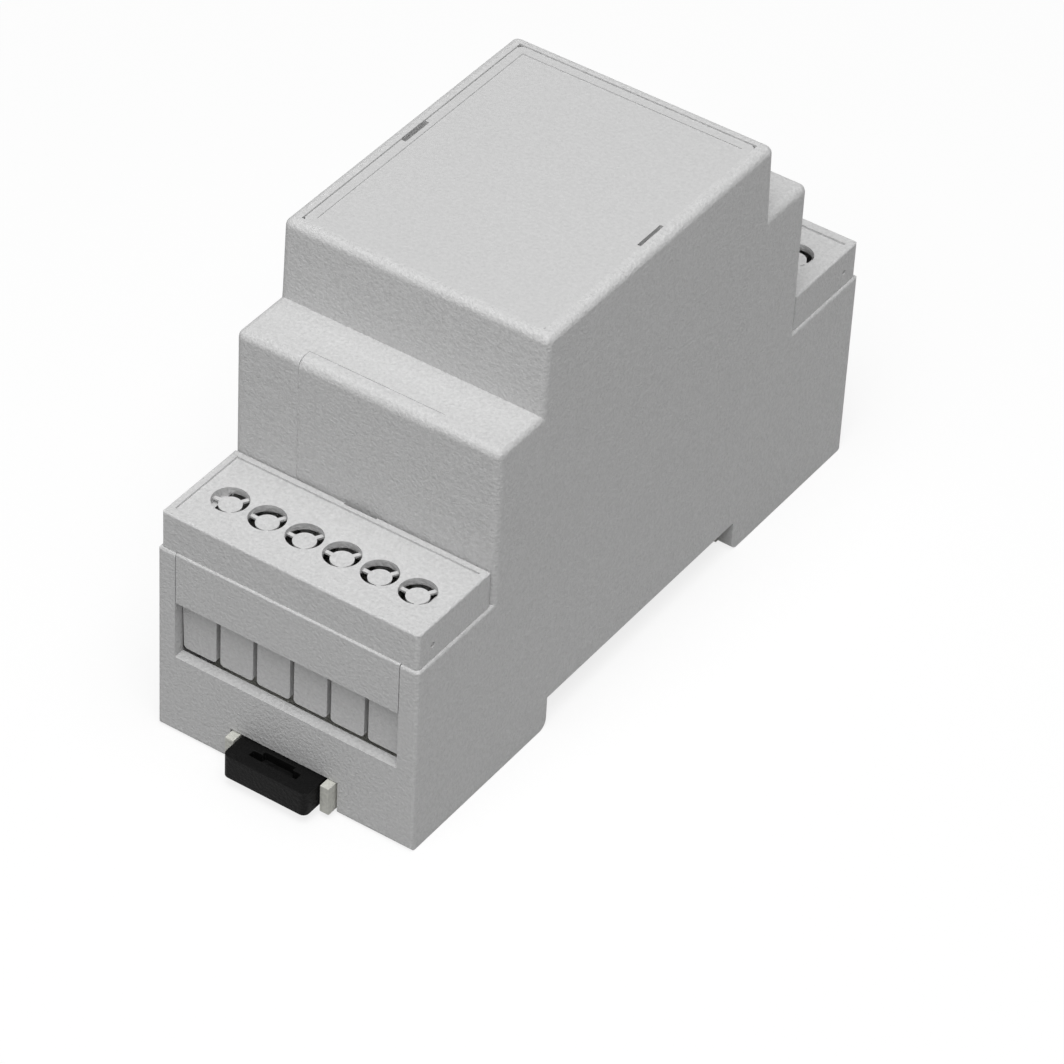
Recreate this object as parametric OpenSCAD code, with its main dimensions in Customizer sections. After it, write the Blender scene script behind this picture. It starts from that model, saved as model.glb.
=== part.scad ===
// Two-module DIN rail enclosure: moulded housing, closing base with a sprung rail latch,
// two perforated terminal covers and a snap-in front panel.
// Millimetres. X runs across the module, Y along it (front end wall at -Y), Z away from the rail.
// The origin is the middle of the rail seat. Heights in this file are measured from the back
// plane, which lies leg_h behind the seat.

/* [Housing] */
// Width across the side walls, two rail modules
body_w = 35.5; // [34:0.5:54]
// Length from end wall to end wall
body_l = 90; // [86:1:110]
// Length of the raised front at its top
raised_l = 45; // [40:1:54]
// Depth of a terminal ledge, from its end wall to its shoulder
ledge_l = 14; // [13:0.5:17]
// Height of the two terminal ledges above the back plane
ledge_h = 26.5; // [24:0.5:32]
// Height of the two shoulders above the ledges
shoulder_up = 21.6; // [18:0.2:26]
// Height of the raised front above the shoulders
front_up = 10.3; // [8:0.1:13]
// Thickness of the side walls
side_wall = 2; // [1.6:0.1:2.4]
// Thickness of the end walls, shoulders and roof
end_wall = 1.5; // [1.2:0.1:1.8]
// Radius of the outer edges of the shoulders and the raised front
edge_r = 1; // [0.4:0.1:1.4]

/* [Terminals] */
// Distance from one terminal to the next
pitch = 5.1; // [4.2:0.1:6.2]
// Height of a terminal cover above its ledge
cover_up = 5; // [4.2:0.1:8]
// Wall of a terminal cover
cover_wall = 1.45; // [1.2:0.05:1.8]
// Height of the sill under the break-out tabs
sill_h = 11.4; // [9.4:0.2:14]
// Width of the plate left between two screwdriver holes
hole_web = 0.65; // [0.5:0.05:1]
// Width of the gap round the knock-out disc in a hole
ring_w = 0.85; // [0.6:0.05:1]

/* [Front panel] */
// Width of the housing's rim beside the panel
rim_side = 1.55; // [1.3:0.05:2]
// Width of the housing's rim at the ends of the panel
rim_end = 1.4; // [1.3:0.05:2]
// Thickness of the panel
panel_t = 1.5; // [1.2:0.1:2]

/* [Rail fixing] */
// Width of the top-hat rail
rail_w = 35; // [35]
// Room in the recess in front of the rail
front_room = 1.1; // [0.9:0.1:2]
// Room in the recess behind the rail, to tilt the enclosure on
tilt_room = 2.9; // [2.4:0.1:4]
// Depth of the rail recess, from the back plane to the rail seat
leg_h = 4.4; // [3.6:0.1:5.4]
// Gap behind the rail seat for the edge of the rail
rail_gap = 1.5; // [1.2:0.1:1.8]
// How far the latch and the hooks reach behind the rail
rail_bite = 2.6; // [1.5:0.1:3.2]
// Width of the latch
latch_w = 11.6; // [9.6:0.2:14]
// Travel of the latch from locked to released
latch_travel = 3.4; // [2.8:0.1:4.2]

/* [Hidden] */
$fn = 48;

shell_grey = [0.80, 0.80, 0.80];
base_cream = [0.80, 0.80, 0.77];
latch_black = [0.07, 0.07, 0.07];

corner_n = 8;                       // chords in a rounded corner
eps = 0.2;                          // how far joined forms run into each other

// Housing
shoulder_h = ledge_h + shoulder_up;
overall_h = shoulder_h + front_up;
half_w = body_w / 2;
half_l = body_l / 2;
in_w = body_w - 2 * side_wall;
in_l = body_l - 2 * end_wall;
shoulder_y = half_l - ledge_l;      // outer face of a shoulder
raised_draft = 2.5;                 // degrees, end faces of the raised front
ledge_r = 0.5;                      // outer edges of the terminal ledges
heel_r = 0.8;                       // outer corners of the legs
toe_r = 1.3;                        // corners of the legs beside the rail recess
skirt_h = ledge_h - 2.5;            // the shoulders reach down inside to here
field_w = 18.2;                     // bare field on the front shoulder
field_sink = 0.1;
field_top = 2.05;                   // length of that field on top of the shoulder
card_y = 12;                        // slots for boards that stand across the module
card_t = 1.7;
card_rib = 1;

// Terminal covers
cover_h = ledge_h + cover_up;
cover_inset = 0.3;                  // the caps stand this far inside the housing's faces
cover_gap = 0.1;                    // between a cap and the shoulder
cap_w = body_w - 2 * cover_inset;
cap_l = ledge_l - cover_inset - cover_gap;
cap_r = 0.5;
cap_edge_r = 0.3;
cap_t = 1.5;                        // plate under the field
rim_w = 0.9;                        // raised rim round the field
front_rim_w = 1.3;
field_h = cover_h - 0.3;            // the field lies just below the rim
slit_w = 0.57;                      // between break-out tabs
apron_gap = 0.3;
ways = floor((in_w + slit_w - 2 * apron_gap) / pitch);      // as many as the width takes
apron_w = ways * pitch - slit_w;
apron_t = 2.1;
band_h = ledge_h - 7.05;            // lower edge of the band above the tabs
tab_set = 1.3;                      // the tabs lie this far behind the band
tab_gap = 0.7;                      // between the tabs and the sill
tab_r = 0.5;
window_w = apron_w + 2 * apron_gap;
hole_d = pitch - hole_web;
hole_in = 6.7;                      // row of holes, from the end wall
disc_d = hole_d - 2 * ring_w;
disc_set = 0.3;                     // the discs lie this far below the field
disc_t = 0.7;
web_w = 0.5;
lug_gap = 0.2;                      // between a lug and the side wall
lug_t = 1.6;
lug_in = apron_t + 0.5;             // ends of a lug, from the end wall
lug_end = ledge_l - 1.4;
lug_d = 2.9;                        // reach of a lug below the cap
lug_r = 1.2;
bump = 0.12;                        // ridge along a lug
bump_d = 1.9;                       // depth of that ridge below the cap
pry_w = 4.4;                        // lever notch in the inner edge
pry_d = 0.4;
dimple_d = 0.7;                     // gate mark on each side of the cap
dimple_in = 3;
dimple_up = 2;

// Front panel
panel_gap = 0.15;
panel_w = body_w - 2 * rim_side - 2 * panel_gap;
panel_l = raised_l - 2 * rim_end - 2 * panel_gap;
panel_r = 0.4;
panel_under = overall_h - panel_t;
seat_w = 1.1;                       // ledge that carries the panel
seat_t = 1.2;
label_in = 1.05;                    // border round the label field
label_sink = 0.15;
slot_l = 4.6;                       // lever slots in the panel's long edges
slot_w = 0.7;
clip_y = 12;
clip_l = 5;
clip_t = 1;
clip_d = 3;                         // reach of a clip below the panel
barb = 0.1;

// Base
base_gap = 0.15;
pad_h = 0.2;                        // the rail seat stands this far below the plate
plate_low = leg_h + pad_h;
plate_h = plate_low + 1.6;
recess_front = -rail_w / 2 - front_room;
recess_rear = rail_w / 2 + tilt_room;
hook_in = 4;                        // ends of a hook, from the middle of the module
hook_out = in_w / 2 - 3.75;
hook_low = 0.9;
hook_tip = rail_w / 2 - rail_bite + 0.4;
pad_gap = 0.4;                      // from the rail seat to the hooks and the latch nose
guide_gap = 0.25;                   // at each side of the latch
guide_x = latch_w / 2 + guide_gap;  // inner face of a latch guide
guide_t = 1.15;
guide_out = 1.35;                   // the guides end this far outside the end wall
guide_low = 0.65;
guide_top = leg_h + 0.25;
notch_h = guide_top + 0.15;
notch_w = 2 * (guide_x + guide_t + guide_gap);
lip_w = 1;                          // lips that carry the latch
lip_h = 1.25;
wall_low = 0.3;                     // lower edge of the walls along the rail recess
catch_d = 0.5;                      // catches that hold the base in the housing
catch_h = 1.2;
catch_l = 8;
catch_y = half_l - 9;
pillar_d = 4;
pillar_h = plate_h + 4.8;
pillar_x = in_w / 2 - 3.2;
pillar_y = shoulder_y - 4;
pin_d = 2.2;
pin_h = 1.4;

// Rail latch
latch_gap = 0.15;                   // above and below the latch
latch_low = lip_h + latch_gap;
latch_top = leg_h - latch_gap;
head_top = guide_top;
head_out = 3.75;                    // the head stands this far outside the end wall
head_r = 0.8;
head_back = half_l - end_wall - 0.1;
nose_tip = rail_bite - rail_w / 2;
nose_top = leg_h - rail_gap - latch_gap;
nose_end = nose_tip - 8;
core_w = latch_w - 6.2;
arm_t = 0.9;
arm_tip = 7 - head_back;
arm_room = 2.2;                     // from the side of the latch to the inner side of an arm's root
stop_l = 1.2;                       // bridge between the lips that stops the released latch
stop_y = half_l - end_wall - base_gap - stop_l;

// Outline of [x, y, r] corners, each rounded to its own radius r.
function unit(v) = v / norm(v);
function rounded(outline) = [
    for (i = [0 : len(outline) - 1])
        let (
            last = len(outline) - 1,
            p = [outline[i][0], outline[i][1]],
            before = outline[i == 0 ? last : i - 1],
            after = outline[i == last ? 0 : i + 1],
            r = outline[i][2],
            u = unit([before[0], before[1]] - p),
            v = unit([after[0], after[1]] - p),
            half = acos(u * v) / 2,
            centre = p + unit(u + v) * r / sin(half),
            start = p + u * r / tan(half) - centre,
            a0 = atan2(start[1], start[0]),
            sweep = (180 - 2 * half) * (cross(u, v) < 0 ? 1 : -1)
        )
        each r == 0 ? [p] : [
            for (k = [0 : corner_n])
                let (a = a0 + sweep * k / corner_n) centre + r * [cos(a), sin(a)]
        ]
];

// Corners of a rectangle from [x0, y0] to [x1, y1]; ra rounds the y0 side, rb the y1 side.
function rectangle(x0, x1, y0, y1, ra = 0, rb = 0) =
    [[x0, y0, ra], [x1, y0, ra], [x1, y1, rb], [x0, y1, rb]];

module both_sides() {
    children();
    mirror([1, 0, 0]) children();
}

module both_ends() {
    children();
    mirror([0, 1, 0]) children();
}

// Moves children to the front end wall, with Y counted inwards from its outer face.
module from_end_wall() {
    translate([0, -half_l, 0]) children();
}

// An outline in Y and Z, extruded across the module from x0 to x1.
module across(x0, x1) {
    translate([x0, 0, 0]) rotate([90, 0, 90]) linear_extrude(x1 - x0) children();
}

// An outline in X and Z, extruded along the module from y0 to y1.
module along(y0, y1) {
    translate([0, y1, 0]) rotate([90, 0, 0]) linear_extrude(y1 - y0) children();
}

// A box between two corners.
module box(low, high) {
    translate(low) cube(high - low);
}

// A box centred on the Z axis.
module block(w, l, z0, z1) {
    box([-w / 2, -l / 2, z0], [w / 2, l / 2, z1]);
}

// One step of the housing's outer form, from foot to top, with rounded upright and upper edges.
module tier(length, foot, top, r, draft = 0, foot_r = 0) {
    end = length / 2 + (top - foot) * tan(draft);
    intersection() {
        translate([0, 0, foot]) linear_extrude(top - foot)
            polygon(rounded(rectangle(-half_w, half_w, -end, end, r, r)));
        along(-end - 1, end + 1) polygon(rounded(rectangle(-half_w, half_w, foot, top, 0, r)));
        across(-half_w - 1, half_w + 1) polygon(rounded([
            [-end, foot, foot_r], [end, foot, foot_r], [length / 2, top, r], [-length / 2, top, r]
        ]));
    }
}

module housing_form() {
    tier(body_l, 0, ledge_h, ledge_r, foot_r = heel_r);
    tier(2 * shoulder_y, heel_r, shoulder_h, edge_r);
    tier(raised_l, shoulder_h - end_wall, overall_h, edge_r, draft = raised_draft);
}

module housing_cavity() {
    block(in_w, in_l, -1, skirt_h);
    block(in_w, 2 * (shoulder_y - end_wall), 0, shoulder_h - end_wall);
    block(in_w, raised_l - 2 * end_wall, 0, panel_under - seat_t);
    both_ends() box([-in_w / 2, shoulder_y, 0], [in_w / 2, in_l / 2, ledge_h + 1]);
}

module panel_opening() {
    opening_w = body_w - 2 * rim_side;
    opening_l = raised_l - 2 * rim_end;
    block(opening_w, opening_l, panel_under, overall_h + 1);
    block(opening_w - 2 * seat_w, opening_l - 2 * seat_w, panel_under - seat_t - 1, overall_h);
}

module rail_recess() {
    across(-half_w - 1, half_w + 1) polygon(rounded([
        [recess_front - toe_r, -1, 0], [recess_rear + toe_r, -1, 0],
        [recess_rear + toe_r, 0, 0], [recess_rear, 0, toe_r], [recess_rear, leg_h, 0],
        [recess_front, leg_h, 0], [recess_front, 0, toe_r], [recess_front - toe_r, 0, 0]
    ]));
}

// Catches under the base and stops above it, on the inside of the side walls.
module base_seat() {
    side = in_w / 2;
    both_ends() both_sides() translate([0, catch_y, 0]) {
        along(-catch_l / 2, catch_l / 2) polygon([
            [side + eps, plate_low - catch_h], [side, plate_low - catch_h],
            [side - catch_d, plate_low - 0.3], [side - catch_d, plate_low], [side + eps, plate_low]
        ]);
        box([side - 1, -catch_l / 2, plate_h], [side + eps, catch_l / 2, plate_h + 1]);
    }
}

// Slots in the side walls for boards that stand across the module.
module card_guides() {
    side = in_w / 2;
    both_ends() both_sides() for (y = [card_y - card_t / 2 - card_rib, card_y + card_t / 2])
        box([side - card_rib, y, pillar_h], [side + eps, y + card_rib, shoulder_h]);
}

// Bare rectangular field that wraps over the upper edge of the front shoulder.
module shoulder_field() {
    translate([0, -shoulder_y, 0]) across(-field_w / 2, field_w / 2) difference() {
        translate([-1, ledge_h]) square([1 + field_top, shoulder_h - ledge_h + 1]);
        polygon(rounded([
            [field_sink, 0, 0], [field_top + 1, 0, 0],
            [field_top + 1, shoulder_h - field_sink, 0], [field_sink, shoulder_h - field_sink, edge_r + 0.3]
        ]));
    }
}

module housing() {
    color(shell_grey) {
        difference() {
            housing_form();
            housing_cavity();
            panel_opening();
            rail_recess();
            shoulder_field();
            both_ends() from_end_wall()
                box([-window_w / 2, -1, sill_h], [window_w / 2, end_wall + 1, ledge_h + 1]);
            from_end_wall() box([-notch_w / 2, -1, -1], [notch_w / 2, end_wall + 1, notch_h]);
        }
        base_seat();
        card_guides();
    }
}

module cap_form() {
    y0 = cover_inset;
    y1 = cover_inset + cap_l;
    intersection() {
        translate([0, 0, ledge_h]) linear_extrude(cover_h - ledge_h)
            polygon(rounded(rectangle(-cap_w / 2, cap_w / 2, y0, y1, cap_r, cap_edge_r)));
        along(0, ledge_l)
            polygon(rounded(rectangle(-cap_w / 2, cap_w / 2, ledge_h - 1, cover_h, 0, cap_edge_r)));
        across(-half_w, half_w)
            polygon(rounded(rectangle(y0, y1, ledge_h - 1, cover_h, 0, cap_edge_r)));
    }
}

// Space inside the cap and the sunk field on its top.
module cap_cuts() {
    y0 = cover_inset;
    y1 = cover_inset + cap_l;
    box([-cap_w / 2 + cover_wall, y0 + cover_wall, ledge_h - 1],
        [cap_w / 2 - cover_wall, y1 + 1, field_h - cap_t]);
    box([-cap_w / 2 + rim_w, y0 + front_rim_w, field_h], [cap_w / 2 - rim_w, y1 - rim_w, cover_h + 1]);
    box([-pry_w / 2, y1 - pry_d, ledge_h - 1], [pry_w / 2, y1 + 1, cover_h + 1]);
    both_sides() translate([cap_w / 2 - 0.2, dimple_in, ledge_h + dimple_up])
        rotate([0, 90, 0]) cylinder(h = 1, d = dimple_d);
}

module at_each_terminal() {
    for (i = [0 : ways - 1]) translate([(i - (ways - 1) / 2) * pitch, 0, 0]) children();
}

// A disc held in its hole by three thin webs.
module knock_out() {
    reach = (hole_d - disc_d) / 2 + 2 * eps;
    translate([0, hole_in, field_h - disc_set - disc_t]) {
        cylinder(h = disc_t, d = disc_d);
        for (a = [60, 180, 300]) rotate(a)
            translate([disc_d / 2 - eps, -web_w / 2, 0]) cube([reach, web_w, disc_t]);
    }
}

module break_out_tab() {
    tab_w = pitch - slit_w;
    along(tab_set, apron_t) polygon(rounded(rectangle(
        -tab_w / 2, tab_w / 2, sill_h + tab_gap, band_h + eps, tab_r, 0)));
}

module apron() {
    root_h = ledge_h + 1;
    across(-apron_w / 2, apron_w / 2) polygon(rounded([
        [0, band_h, 0], [apron_t, band_h, 0], [apron_t, root_h, 0],
        [cover_inset + eps, root_h, 0], [cover_inset + eps, ledge_h, 0], [0, ledge_h, 0.2]
    ]));
    at_each_terminal() break_out_tab();
}

// A lug that snaps inside the side wall, behind the apron, with a ridge along it.
module side_lug() {
    outer = in_w / 2 - lug_gap;
    root_h = field_h - cap_t + eps;
    across(outer - lug_t, outer)
        polygon(rounded(rectangle(lug_in, lug_end, ledge_h - lug_d, root_h, lug_r, 0)));
    along(lug_in + lug_r, lug_end - lug_r) translate([outer, ledge_h - bump_d])
        polygon([[-eps, -0.6], [0, -0.6], [bump, -0.2], [bump, 0.2], [0, 0.6], [-eps, 0.6]]);
    box([outer - eps, lug_in, ledge_h], [cap_w / 2 - cover_wall + eps, lug_end, root_h]);
}

// The cover at the front end; the same moulding, turned round, closes the rear end.
module terminal_cover() {
    color(shell_grey) from_end_wall() {
        difference() {
            cap_form();
            cap_cuts();
            at_each_terminal() translate([0, hole_in, ledge_h]) cylinder(h = cover_h, d = hole_d);
        }
        at_each_terminal() knock_out();
        apron();
        both_sides() side_lug();
    }
}

// A leg whose barb snaps under the ledge of the panel opening.
module panel_clip() {
    outer = body_w / 2 - rim_side - seat_w - panel_gap;
    catch_z = panel_under - seat_t - 0.1;
    along(clip_y - clip_l / 2, clip_y + clip_l / 2) polygon([
        [outer - clip_t, panel_under + eps], [outer, panel_under + eps], [outer, catch_z],
        [outer + barb, catch_z - barb], [outer - clip_t / 2, panel_under - clip_d],
        [outer - clip_t, panel_under - clip_d]
    ]);
}

module front_panel() {
    color(shell_grey) {
        difference() {
            translate([0, 0, panel_under]) linear_extrude(panel_t) polygon(rounded(rectangle(
                -panel_w / 2, panel_w / 2, -panel_l / 2, panel_l / 2, panel_r, panel_r)));
            block(panel_w - 2 * label_in, panel_l - 2 * label_in, overall_h - label_sink, overall_h + 1);
            both_sides() box([panel_w / 2 - slot_w, -slot_l / 2, panel_under - 1],
                [panel_w / 2 + 1, slot_l / 2, overall_h + 1]);
        }
        both_sides() both_ends() panel_clip();
    }
}

// Guide for one side of the latch, with the lip that carries it. Its end shows under the end wall.
module latch_guide() {
    front = -half_l - guide_out;
    across(guide_x, guide_x + guide_t) polygon(rounded([
        [front, guide_low, 0.3], [recess_front, guide_low, 0],
        [recess_front, plate_low + eps, 0], [1 - in_l / 2, plate_low + eps, 0],
        [1 - in_l / 2, guide_top, 0], [front, guide_top, 0.1]
    ]));
    box([guide_x - lip_w, -in_l / 2 + base_gap, guide_low],
        [guide_x + eps, recess_front - end_wall, lip_h]);
}

// One of the two fixed hooks behind the rear edge of the rail.
module rail_hook() {
    root = rail_w / 2 + 0.25;
    lip_top = leg_h - rail_gap;
    across(hook_in, hook_out) polygon([
        [hook_tip + 1.2, hook_low], [recess_rear + eps, hook_low],
        [recess_rear + eps, plate_low + eps], [root, plate_low + eps], [root, lip_top],
        [hook_tip + 0.4, lip_top], [hook_tip, lip_top - 0.4], [hook_tip, (hook_low + lip_top) / 2]
    ]);
}

// Walls that close the legs towards the rail recess.
module recess_walls() {
    side = in_w / 2 - base_gap;
    both_sides() box([guide_x + guide_t - eps, recess_front - end_wall, wall_low],
        [side, recess_front, plate_low + eps]);
    box([-side, recess_rear, wall_low], [side, recess_rear + end_wall, plate_low + eps]);
}

// The rail seat itself, clear of the hooks and of the latch nose.
module rail_pad() {
    side = in_w / 2 - base_gap;
    box([-side, nose_tip + pad_gap, leg_h], [side, hook_tip - pad_gap, plate_low + eps]);
}

module board_pillar() {
    translate([pillar_x, pillar_y, plate_h - eps]) {
        cylinder(h = pillar_h - plate_h + eps, d = pillar_d);
        cylinder(h = pillar_h - plate_h + eps + pin_h, d = pin_d);
    }
}

module base() {
    color(base_cream) {
        block(in_w - 2 * base_gap, in_l - 2 * base_gap, plate_low, plate_h);
        rail_pad();
        both_sides() {
            latch_guide();
            rail_hook();
            both_ends() board_pillar();
        }
        recess_walls();
        box([-guide_x, -stop_y - stop_l, guide_low], [guide_x, -stop_y, lip_h]);
    }
}

// Head outside the end wall, with a recess for a screwdriver.
module latch_head() {
    front = -half_l - head_out;
    difference() {
        translate([0, 0, latch_low]) linear_extrude(head_top - latch_low) polygon(rounded(
            rectangle(-latch_w / 2, latch_w / 2, front, -head_back, head_r, 0)));
        translate([0, 0, head_top - 1.2]) linear_extrude(2) {
            translate([0, front + 2.1]) square([6.6, 1], center = true);
            translate([-2.1, front + 1.6]) square([4.2, 1.6]);
        }
    }
}

// Nose that locks behind the rail, with a lead-in that drives it back as the rail is pushed in.
module latch_nose() {
    across(-latch_w / 2, latch_w / 2) polygon([
        [nose_end, latch_low], [nose_tip - 1.8, latch_low], [nose_tip, (latch_low + nose_top) / 2],
        [nose_tip, nose_top], [-rail_w / 2 - 0.3, nose_top], [-rail_w / 2 - 0.3, latch_top],
        [nose_end, latch_top]
    ]);
}

module latch_arm() {
    root = latch_w / 2 - arm_room;
    tip = latch_w / 2 - arm_t;
    translate([0, 0, latch_low]) linear_extrude(latch_top - latch_low) {
        polygon([
            [root, nose_end + eps], [root + arm_t, nose_end + eps],
            [tip + arm_t, arm_tip], [tip, arm_tip]
        ]);
        translate([tip + arm_t / 2, arm_tip]) circle(d = arm_t);
    }
}

// Nub under the latch that meets the bridge when the latch is released.
module latch_stop() {
    translate([0, latch_travel - stop_y, 0]) across(-2, 2) polygon([
        [0.1, latch_low + eps], [0.1, lip_h - 0.3], [0.6, lip_h - 0.3], [1.6, latch_low + eps]
    ]);
}

module rail_latch() {
    color(latch_black) {
        latch_head();
        box([-core_w / 2, -head_back - eps, latch_low], [core_w / 2, nose_end + eps, latch_top]);
        latch_nose();
        both_sides() latch_arm();
        latch_stop();
    }
}

module on_rail() {
    translate([0, 0, -leg_h]) children();
}

on_rail() housing();
on_rail() base();
on_rail() front_panel();
on_rail() terminal_cover();  // front_terminal_cover
on_rail() rotate(180) terminal_cover();  // rear_terminal_cover
on_rail() rail_latch();
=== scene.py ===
"""Finish, stage and camera for a two-module rail enclosure."""
import math

import bmesh
import bpy
from bpy.props import FloatProperty, FloatVectorProperty, PointerProperty
from mathutils import Matrix, Vector


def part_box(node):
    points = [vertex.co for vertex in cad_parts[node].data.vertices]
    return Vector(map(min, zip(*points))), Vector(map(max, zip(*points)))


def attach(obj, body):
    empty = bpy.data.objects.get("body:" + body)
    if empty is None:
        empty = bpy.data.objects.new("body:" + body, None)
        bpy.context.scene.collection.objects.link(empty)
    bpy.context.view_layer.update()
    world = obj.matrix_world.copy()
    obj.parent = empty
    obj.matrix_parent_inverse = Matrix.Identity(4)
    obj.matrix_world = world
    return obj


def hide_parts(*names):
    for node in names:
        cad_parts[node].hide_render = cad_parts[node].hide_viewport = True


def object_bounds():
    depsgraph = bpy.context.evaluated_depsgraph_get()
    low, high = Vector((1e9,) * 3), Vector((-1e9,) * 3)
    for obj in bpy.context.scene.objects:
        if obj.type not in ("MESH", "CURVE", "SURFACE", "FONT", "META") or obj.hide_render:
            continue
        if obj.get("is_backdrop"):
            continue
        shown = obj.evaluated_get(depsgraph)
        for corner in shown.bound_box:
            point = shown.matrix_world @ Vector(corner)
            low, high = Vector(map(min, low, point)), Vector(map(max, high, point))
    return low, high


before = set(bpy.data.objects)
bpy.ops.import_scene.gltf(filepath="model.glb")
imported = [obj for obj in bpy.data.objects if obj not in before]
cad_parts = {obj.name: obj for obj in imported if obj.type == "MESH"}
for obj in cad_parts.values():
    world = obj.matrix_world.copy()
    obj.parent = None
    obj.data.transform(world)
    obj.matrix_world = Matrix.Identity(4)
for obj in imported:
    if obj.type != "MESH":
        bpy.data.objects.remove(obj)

bl_info = {
    "name": "Rail Enclosure Finish",
    "version": (1, 0, 0),
    "blender": (4, 5, 0),
    "location": "View3D > Sidebar > Enclosure",
    "description": "Moulded plastic finish, studio stage and camera for a rail enclosure",
    "category": "Object",
}

MM = 0.001
WHITE = (1, 1, 1, 1)
FLOOR_REACH = 2.0       # half the side of the sheet, in metres
FLOOR_GLOW = 0.8        # how far the floor is lifted towards white
FLOOR_BOUNCE = 0.4      # how much light the floor throws back
SOFT_BOX_SIZE = 0.9     # metres across
SOFT_BOX_AWAY = 1.1     # metres from the enclosure
KEY_PLACE = (math.radians(20), math.radians(60))    # azimuth and elevation
TOP_PLACE = (math.radians(60), math.radians(80))
SENSOR = 36             # width in millimetres
FARTHEST = 10           # metres that the camera sees

# Finish of the mouldings
NOISE_MIDDLE = 0.5
GRAIN_DETAIL = 3.0
GRAIN_BREAKUP = 0.6
CLOUD_DETAIL = 2.0
ROUGHNESS_SWING = 0.2
SHELL_GLOSS = 0.5
LATCH_GLOSS = 0.12
SHELL_RELIEF = 1.7      # strength of the grain
PANEL_RELIEF = 1.0

# Edges of the mouldings
WELD = 0.004 * MM
FLAT = math.radians(0.4)
SHARP = math.radians(30)
EDGE_SEGMENTS = 2
HOUSING_EDGE = 0.12 * MM
COVER_EDGE = 0.1 * MM
BASE_EDGE = 0.1 * MM
LATCH_EDGE = 0.15 * MM
NO_EDGE = 0

# Forms of the mouldings that are completed here
EDGE_R = 1.0 * MM
CORNER_STEPS = 6
RAISED_CUTS = (0.05, 0.35, 0.65)    # shares of the raised front's height
SHOULDER_HIGH = 48.1 * MM       # above the lowest point
SHOULDER_END = 31.0 * MM
RAISED_END = 22.5 * MM
RAISED_DRAFT = math.radians(2.5)
TERMINALS = 6
PITCH = 5.1 * MM
HOLE_ROW = 38.3 * MM
HOLE_R = 2.225 * MM
DISC_HIGH = 26.5 * MM
DISC_LOW = 25.8 * MM
DISC_SINK = 0.35 * MM
PLATE_LOW = 25.3 * MM
THIN_PLATE_LOW = 25.9 * MM
SLIT = 0.57 * MM        # between break-out tabs
BAND_SIDE = (TERMINALS * PITCH - SLIT) / 2
BAND_LOW = 15.05 * MM
BAND_SPREAD = 0.2 * MM
SLOT_SIDE = 15.35 * MM
SLOT_HALF = 2.3 * MM
SLOT_NARROWER = 0.25 * MM
PANEL_SPREAD = 0.12 * MM
PANEL_SINK = 0.2 * MM
LABEL_SINK = 0.15 * MM


class Signal:
    """One output of a shader node, so that shader maths reads as an expression."""

    def __init__(self, shader, socket):
        self.shader = shader
        self.socket = socket
        self.node = socket.node

    def math(self, operation, *values):
        return self.shader.add("ShaderNodeMath", {"operation": operation}, dict(enumerate(values)))

    def __add__(self, other):
        return self.math("ADD", self, other)

    __radd__ = __add__

    def __sub__(self, other):
        return self.math("SUBTRACT", self, other)

    def __rsub__(self, other):
        return self.math("SUBTRACT", other, self)

    def __mul__(self, other):
        return self.math("MULTIPLY", self, other)

    __rmul__ = __mul__


class Shader:
    """A node tree whose nodes are added by one method."""

    def __init__(self, tree):
        self.tree = tree
        self.tree.nodes.clear()

    def add(self, kind, settings=None, inputs=None, output=0):
        """Adds a node, sets it up, then fills its sockets with values or signals."""
        node = self.tree.nodes.new(kind)
        for key, value in (settings or {}).items():
            setattr(node, key, value)
        for key, value in (inputs or {}).items():
            if isinstance(value, Signal):
                self.tree.links.new(value.socket, node.inputs[key])
            else:
                node.inputs[key].default_value = value
        return Signal(self, node.outputs[output]) if node.outputs else node

    def place(self):
        """Object coordinates, in metres."""
        return self.add("ShaderNodeTexCoord", output="Object")

    def noise(self, per_mm, detail, roughness=0.5):
        """Noise around its middle with so many cells to the millimetre."""
        return self.add(
            "ShaderNodeTexNoise",
            {"noise_dimensions": "3D"},
            {"Vector": self.place(), "Scale": per_mm / MM, "Detail": detail, "Roughness": roughness},
        )

    def tint(self, colour, amount):
        """The colour made lighter or darker by a signal around 1."""
        return self.add(
            "ShaderNodeVectorMath",
            {"operation": "SCALE"},
            {0: tuple(colour)[:3], "Scale": amount},
        )

    def seen(self):
        """1 where the camera or a reflection sees the surface, 0 where it only gives light."""
        path = self.add("ShaderNodeLightPath", output="Is Camera Ray").node
        rays = ("Is Camera Ray", "Is Glossy Ray", "Is Transmission Ray")
        camera, glossy, through = (Signal(self, path.outputs[name]) for name in rays)
        return camera + glossy + through


def material(name, surface):
    """A material whose surface is built by a function of its shader."""
    made = bpy.data.materials.new(name)
    made.use_nodes = True
    shader = Shader(made.node_tree)
    shader.add("ShaderNodeOutputMaterial", None, {"Surface": surface(shader)})
    return made


def moulded_plastic(shader, colour, grain, gloss, relief):
    """Plastic from an etched mould: fine even grain, with faint clouding from the flow."""
    fine = shader.noise(grain.cells_per_mm, detail=GRAIN_DETAIL, roughness=GRAIN_BREAKUP)
    cloud = shader.noise(grain.clouds_per_mm, detail=CLOUD_DETAIL)
    specks = (fine - NOISE_MIDDLE) * (grain.speck_tone * relief)
    tone = 1 + (cloud - NOISE_MIDDLE) * grain.cloud_tone + specks
    bump = shader.add(
        "ShaderNodeBump",
        None,
        {"Height": fine, "Distance": grain.depth * relief, "Strength": 1.0},
    )
    return shader.add(
        "ShaderNodeBsdfPrincipled",
        None,
        {
            "Base Color": shader.tint(colour, tone),
            "Roughness": grain.roughness + (fine - NOISE_MIDDLE) * ROUGHNESS_SWING,
            "Normal": bump,
            "Specular IOR Level": gloss,
        },
    )


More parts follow.
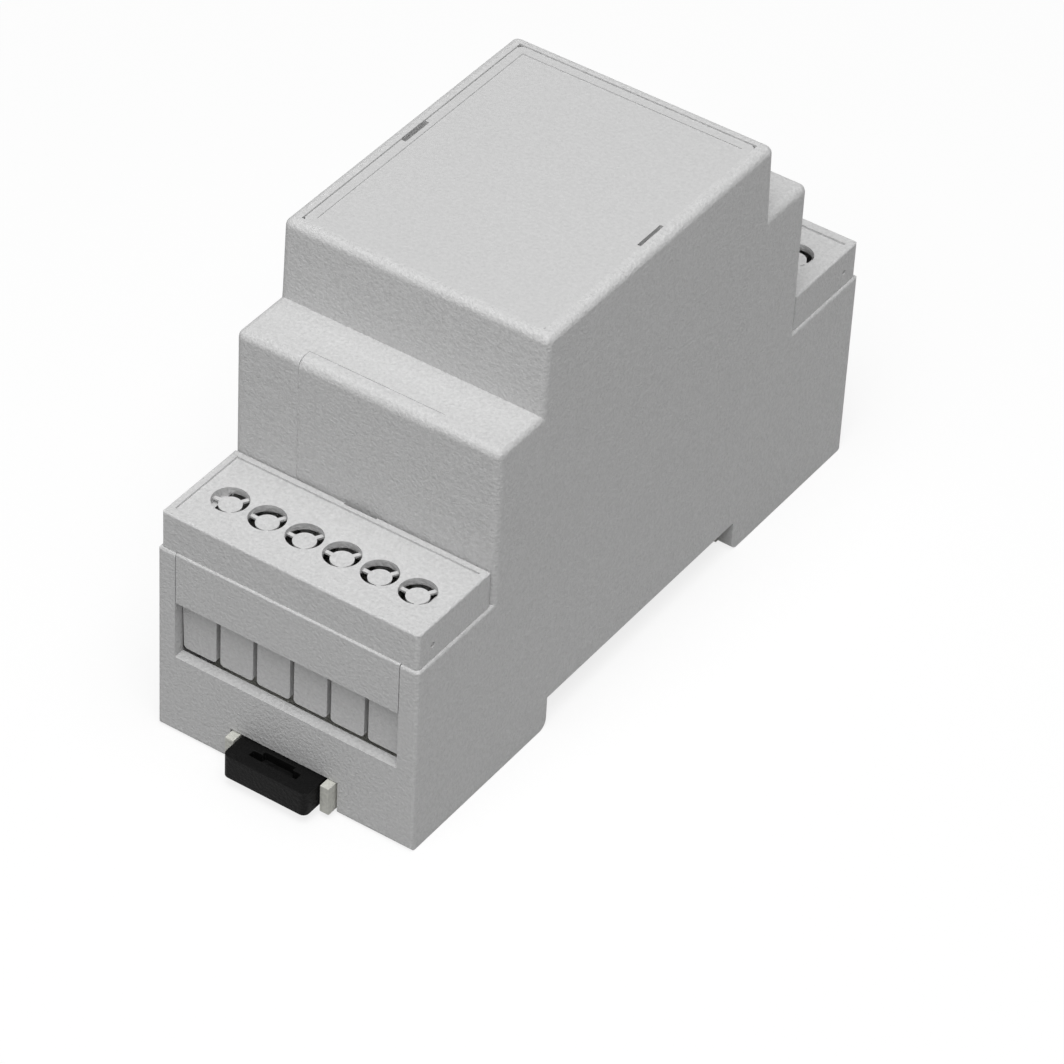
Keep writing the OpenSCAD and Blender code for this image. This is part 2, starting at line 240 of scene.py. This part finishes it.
def plastic(name, colour, grain, gloss=SHELL_GLOSS, relief=SHELL_RELIEF):
    """A moulded plastic of one colour."""
    return material(name, lambda shader: moulded_plastic(shader, colour, grain, gloss, relief))


class ENCLOSURE_PG_grain(bpy.types.PropertyGroup):
    """Surface of all the mouldings."""

    cells_per_mm: FloatProperty(
        name="Grain", description="Grain cells to the millimetre", default=2.4, min=0.1
    )
    depth: FloatProperty(
        name="Depth", description="Depth of the grain", default=0.09 * MM, min=0, unit="LENGTH", precision=6
    )
    roughness: FloatProperty(
        name="Roughness", description="Roughness of the gloss", default=0.55, min=0, max=1
    )
    speck_tone: FloatProperty(name="Specks", description="Change of tone from cell to cell", default=0.28)
    clouds_per_mm: FloatProperty(name="Clouds", description="Cloud cells to the millimetre", default=0.05)
    cloud_tone: FloatProperty(name="Cloud tone", description="Change of tone from cloud to cloud", default=0.03)


class ENCLOSURE_PG_colours(bpy.types.PropertyGroup):
    """Colours of the mouldings."""

    shell: FloatVectorProperty(
        name="Shell", description="Housing and terminal covers", subtype="COLOR", size=3,
        default=(0.6, 0.6, 0.6),
    )
    panel: FloatVectorProperty(
        name="Panel", description="Front panel", subtype="COLOR", size=3, default=(0.57, 0.57, 0.57)
    )
    base: FloatVectorProperty(
        name="Base", description="Closing base", subtype="COLOR", size=3, default=(0.62, 0.62, 0.57)
    )
    latch: FloatVectorProperty(
        name="Latch", description="Rail latch", subtype="COLOR", size=3, default=(0.003, 0.003, 0.003)
    )


class ENCLOSURE_PG_stage(bpy.types.PropertyGroup):
    """Floor, light and camera."""

    key_power: FloatProperty(
        name="Key light", description="Power of the front soft box", default=6.4, unit="POWER"
    )
    top_power: FloatProperty(
        name="Top light", description="Power of the soft box above", default=6.0, unit="POWER"
    )
    sky: FloatProperty(name="Sky", description="Strength of the even light from all round", default=0.15)
    lens: FloatProperty(name="Lens", description="Focal length", default=185.3, unit="CAMERA")
    azimuth: FloatProperty(
        name="Azimuth", description="Direction of the camera, from the front",
        default=math.radians(32.5), unit="ROTATION",
    )
    elevation: FloatProperty(
        name="Elevation", description="Height of the camera", default=math.radians(39.96), unit="ROTATION"
    )
    roll: FloatProperty(
        name="Roll", description="Tilt of the camera", default=math.radians(3.22), unit="ROTATION"
    )
    eye: FloatVectorProperty(
        name="Eye", description="Place of the camera", subtype="TRANSLATION", size=3,
        default=(265.683 * MM, -412.969 * MM, 414.744 * MM),
    )


def cut_across(shape, axis, place):
    """Adds a loop of edges where a plane across one axis meets the moulding."""
    normal = Vector((axis == "x", axis == "y", axis == "z"))
    geometry = shape.verts[:] + shape.edges[:] + shape.faces[:]
    bmesh.ops.bisect_plane(shape, geom=geometry, dist=WELD, plane_co=normal * place, plane_no=normal)


def settle_on_ball(vert, centre, needed):
    """Draws a point in to the rounding around a corner's centre, where it lies outside it."""
    sign = [math.copysign(1, value) for value in vert.co]
    away = [abs(vert.co[0]) - centre[0], abs(vert.co[1]) - centre[1], vert.co[2] - centre[2]]
    out = Vector([max(value, 0) for value in away])
    if sum(value > 0 for value in away) < needed or out.length <= EDGE_R:
        return
    out *= EDGE_R / out.length
    for axis in range(3):
        if away[axis] > 0:
            side = sign[axis] if axis < 2 else 1
            vert.co[axis] = side * (centre[axis] + out[axis])


def round_tier(shape, end, top, draft, foot, needed):
    """Rounds the corners of one step of the housing, whose end faces may lean."""
    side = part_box("housing")[1][0]
    centre = Vector((side, end, top)) - Vector((EDGE_R, EDGE_R, EDGE_R))
    for step in range(CORNER_STEPS):
        reach = EDGE_R * math.sin(math.pi / 2 * step / CORNER_STEPS)
        cut_across(shape, "z", centre.z + reach)
        for sign in (-1, 1):
            cut_across(shape, "x", sign * (centre.x + reach))
            cut_across(shape, "y", sign * (centre.y + reach))
    for vert in shape.verts:
        if foot < vert.co.z < top + WELD:
            lean = (top - vert.co.z) * math.tan(draft)
            settle_on_ball(vert, (centre.x, centre.y + lean, centre.z), needed)


def shape_housing(shape):
    """Turns the mitred corners of the raised front and of the shoulders into balls."""
    shoulder_top = SHOULDER_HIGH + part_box("housing")[0][2]
    raised_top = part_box("housing")[1][2]
    for share in RAISED_CUTS:
        cut_across(shape, "z", shoulder_top + share * (raised_top - shoulder_top))
    round_tier(shape, RAISED_END, raised_top, RAISED_DRAFT, shoulder_top + WELD, needed=2)
    round_tier(shape, SHOULDER_END, shoulder_top, 0, shoulder_top - EDGE_R, needed=3)


def shape_cover(shape):
    """Thins the plate round the sunk knock-out discs and fits the band closely between the jambs."""
    for vert in shape.verts:
        for terminal in range(TERMINALS):
            across = (terminal - (TERMINALS - 1) / 2) * PITCH
            radius = math.hypot(vert.co.x - across, abs(vert.co.y) - HOLE_ROW)
            if radius < HOLE_R + WELD and abs(vert.co.z - DISC_HIGH) < WELD:
                vert.co.z -= DISC_SINK
            elif radius < HOLE_R + WELD and abs(vert.co.z - DISC_LOW) < WELD:
                vert.co.z = THIN_PLATE_LOW
        if abs(vert.co.z - PLATE_LOW) < WELD:
            vert.co.z = THIN_PLATE_LOW
        if abs(abs(vert.co.x) - BAND_SIDE) < WELD and vert.co.z > BAND_LOW - WELD:
            vert.co.x += math.copysign(BAND_SPREAD, vert.co.x)


def shape_panel(shape):
    """Narrows the lever slots, closes the joint to the rim and sets the panel below it."""
    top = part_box("front_panel")[1].copy()
    for vert in shape.verts:
        if abs(abs(vert.co.x) - SLOT_SIDE) < WELD and abs(vert.co.y) < SLOT_HALF + WELD:
            vert.co.x += math.copysign(SLOT_NARROWER, vert.co.x)
        for axis in (0, 1):
            if abs(abs(vert.co[axis]) - top[axis]) < WELD:
                vert.co[axis] += math.copysign(PANEL_SPREAD, vert.co[axis])
        if vert.co.z > top.z - LABEL_SINK - WELD:
            vert.co.z -= PANEL_SINK


def moulding(node, body, material, edge, reshape=None):
    """Stands for a CAD node: the same form, with its fine roundings completed."""
    shape = bmesh.new()
    shape.from_mesh(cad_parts[node].data)
    bmesh.ops.remove_doubles(shape, verts=shape.verts, dist=WELD)
    if reshape:
        reshape(shape)
    bmesh.ops.remove_doubles(shape, verts=shape.verts, dist=WELD)
    bmesh.ops.dissolve_limit(shape, angle_limit=FLAT, verts=shape.verts, edges=shape.edges)
    mesh = bpy.data.meshes.new(node + "_moulding")
    shape.to_mesh(mesh)
    shape.free()
    mesh.shade_smooth()
    mesh.set_sharp_from_angle(angle=SHARP)
    mesh.materials.append(material)
    piece = bpy.data.objects.new(node + "_moulding", mesh)
    bpy.context.scene.collection.objects.link(piece)
    if edge:
        bevel = piece.modifiers.new("edge", "BEVEL")
        bevel.width = edge
        bevel.segments = EDGE_SEGMENTS
        bevel.limit_method = "ANGLE"
        bevel.angle_limit = SHARP
    normals = piece.modifiers.new("normals", "WEIGHTED_NORMAL")
    normals.keep_sharp = True
    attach(piece, body)
    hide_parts(node)


class ENCLOSURE_OT_housing(bpy.types.Operator):
    """Finish the housing"""

    bl_idname = "enclosure.housing"
    bl_label = "Housing"

    def execute(self, context):
        scene = context.scene
        finish = plastic("housing_plastic", scene.enclosure_colours.shell, scene.enclosure_grain)
        moulding("housing", "enclosure", finish, HOUSING_EDGE, shape_housing)
        return {"FINISHED"}


class ENCLOSURE_OT_covers(bpy.types.Operator):
    """Finish both terminal covers"""

    bl_idname = "enclosure.covers"
    bl_label = "Terminal covers"

    def execute(self, context):
        scene = context.scene
        finish = plastic("cover_plastic", scene.enclosure_colours.shell, scene.enclosure_grain)
        for end in ("front", "rear"):
            node, body = f"{end}_terminal_cover", f"{end}_cover"
            moulding(node, body, finish, COVER_EDGE, shape_cover)
        return {"FINISHED"}


class ENCLOSURE_OT_panel(bpy.types.Operator):
    """Finish the front panel"""

    bl_idname = "enclosure.panel"
    bl_label = "Front panel"

    def execute(self, context):
        scene = context.scene
        finish = plastic("panel_plastic", scene.enclosure_colours.panel, scene.enclosure_grain, relief=PANEL_RELIEF)
        moulding("front_panel", "front_panel", finish, NO_EDGE, shape_panel)
        return {"FINISHED"}


class ENCLOSURE_OT_base(bpy.types.Operator):
    """Finish the closing base"""

    bl_idname = "enclosure.base"
    bl_label = "Base"

    def execute(self, context):
        scene = context.scene
        finish = plastic("base_plastic", scene.enclosure_colours.base, scene.enclosure_grain)
        moulding("base", "enclosure", finish, BASE_EDGE)
        return {"FINISHED"}


class ENCLOSURE_OT_latch(bpy.types.Operator):
    """Finish the rail latch"""

    bl_idname = "enclosure.latch"
    bl_label = "Rail latch"

    def execute(self, context):
        scene = context.scene
        finish = plastic("latch_plastic", scene.enclosure_colours.latch, scene.enclosure_grain, gloss=LATCH_GLOSS)
        moulding("rail_latch", "latch", finish, LATCH_EDGE)
        return {"FINISHED"}


def white_paper(shader):
    """Paper that looks white and keeps its shadow, but throws little light up at the enclosure."""
    dull = shader.add("ShaderNodeBsdfDiffuse", None, {"Color": (*(FLOOR_BOUNCE,) * 3, 1)})
    paper = shader.add("ShaderNodeBsdfDiffuse", None, {"Color": WHITE})
    glow = shader.add("ShaderNodeEmission", None, {"Color": WHITE, "Strength": 1.0})
    lit = shader.add("ShaderNodeMixShader", None, {0: FLOOR_GLOW, 1: paper, 2: glow})
    return shader.add("ShaderNodeMixShader", None, {0: shader.seen(), 1: dull, 2: lit})


def floor_sheet(low):
    """A sheet of paper under the enclosure."""
    sheet = bmesh.new()
    bmesh.ops.create_grid(sheet, x_segments=1, y_segments=1, size=FLOOR_REACH)
    bmesh.ops.translate(sheet, verts=sheet.verts, vec=(0, 0, low))
    mesh = bpy.data.meshes.new("floor")
    sheet.to_mesh(mesh)
    sheet.free()
    mesh.materials.append(material("floor_paper", white_paper))
    floor = bpy.data.objects.new("floor", mesh)
    bpy.context.scene.collection.objects.link(floor)
    floor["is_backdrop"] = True


def soft_box(name, azimuth, elevation, power):
    """A round soft box that faces the enclosure, its azimuth counted from the front."""
    light = bpy.data.lights.new(name, "AREA")
    light.shape = "DISK"
    light.size = SOFT_BOX_SIZE
    light.energy = power
    turn = Matrix.Rotation(azimuth, 4, "Z") @ Matrix.Rotation(math.pi / 2 - elevation, 4, "X")
    lamp = bpy.data.objects.new(name, light)
    lamp.matrix_world = turn @ Matrix.Translation((0, 0, SOFT_BOX_AWAY))
    bpy.context.scene.collection.objects.link(lamp)


def even_sky(strength):
    """Even light from all round; the camera and reflections see white."""
    world = bpy.data.worlds.new("studio")
    world.use_nodes = True
    shader = Shader(world.node_tree)
    sky = shader.add("ShaderNodeBackground", None, {"Color": WHITE, "Strength": strength})
    white = shader.add("ShaderNodeBackground", None, {"Color": WHITE, "Strength": 1.0})
    mixed = shader.add("ShaderNodeMixShader", None, {0: shader.seen(), 1: sky, 2: white})
    shader.add("ShaderNodeOutputWorld", None, {"Surface": mixed})
    bpy.context.scene.world = world


class ENCLOSURE_OT_stage(bpy.types.Operator):
    """Set the floor, the light and the camera"""

    bl_idname = "enclosure.stage"
    bl_label = "Stage"

    def execute(self, context):
        scene = context.scene
        stage = scene.enclosure_stage
        floor_sheet(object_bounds()[0][2])
        even_sky(stage.sky)
        soft_box("key", *KEY_PLACE, stage.key_power)
        soft_box("top", *TOP_PLACE, stage.top_power)
        camera = bpy.data.cameras.new("camera")
        camera.lens = stage.lens
        camera.sensor_width = SENSOR
        camera.clip_end = FARTHEST
        eye = bpy.data.objects.new("camera", camera)
        turn = (
            Matrix.Rotation(stage.azimuth, 4, "Z")
            @ Matrix.Rotation(math.pi / 2 - stage.elevation, 4, "X")
            @ Matrix.Rotation(stage.roll, 4, "Z")
        )
        eye.matrix_world = Matrix.Translation(stage.eye) @ turn
        scene.collection.objects.link(eye)
        scene.camera = eye
        scene.view_settings.view_transform = "Standard"
        return {"FINISHED"}


class ENCLOSURE_PT_panel(bpy.types.Panel):
    """Lists the steps that finish the enclosure"""

    bl_idname = "ENCLOSURE_PT_panel"
    bl_label = "Enclosure"
    bl_space_type = "VIEW_3D"
    bl_region_type = "UI"
    bl_category = "Enclosure"

    def draw(self, context):
        for operator in OPERATORS:
            self.layout.operator(operator.bl_idname)


GROUPS = {
    "enclosure_grain": ENCLOSURE_PG_grain,
    "enclosure_colours": ENCLOSURE_PG_colours,
    "enclosure_stage": ENCLOSURE_PG_stage,
}
OPERATORS = (
    ENCLOSURE_OT_housing,
    ENCLOSURE_OT_covers,
    ENCLOSURE_OT_panel,
    ENCLOSURE_OT_base,
    ENCLOSURE_OT_latch,
    ENCLOSURE_OT_stage,
)
CLASSES = (*GROUPS.values(), *OPERATORS, ENCLOSURE_PT_panel)


def register():
    for cls in CLASSES:
        bpy.utils.register_class(cls)
    for name, group in GROUPS.items():
        setattr(bpy.types.Scene, name, PointerProperty(type=group))


def unregister():
    for name in GROUPS:
        delattr(bpy.types.Scene, name)
    for cls in reversed(CLASSES):
        bpy.utils.unregister_class(cls)


def main():
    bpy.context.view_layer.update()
    register()
    bpy.ops.enclosure.housing()
    bpy.ops.enclosure.covers()
    bpy.ops.enclosure.panel()
    bpy.ops.enclosure.base()
    bpy.ops.enclosure.latch()
    bpy.ops.enclosure.stage()


if __name__ == "__main__":
    main()
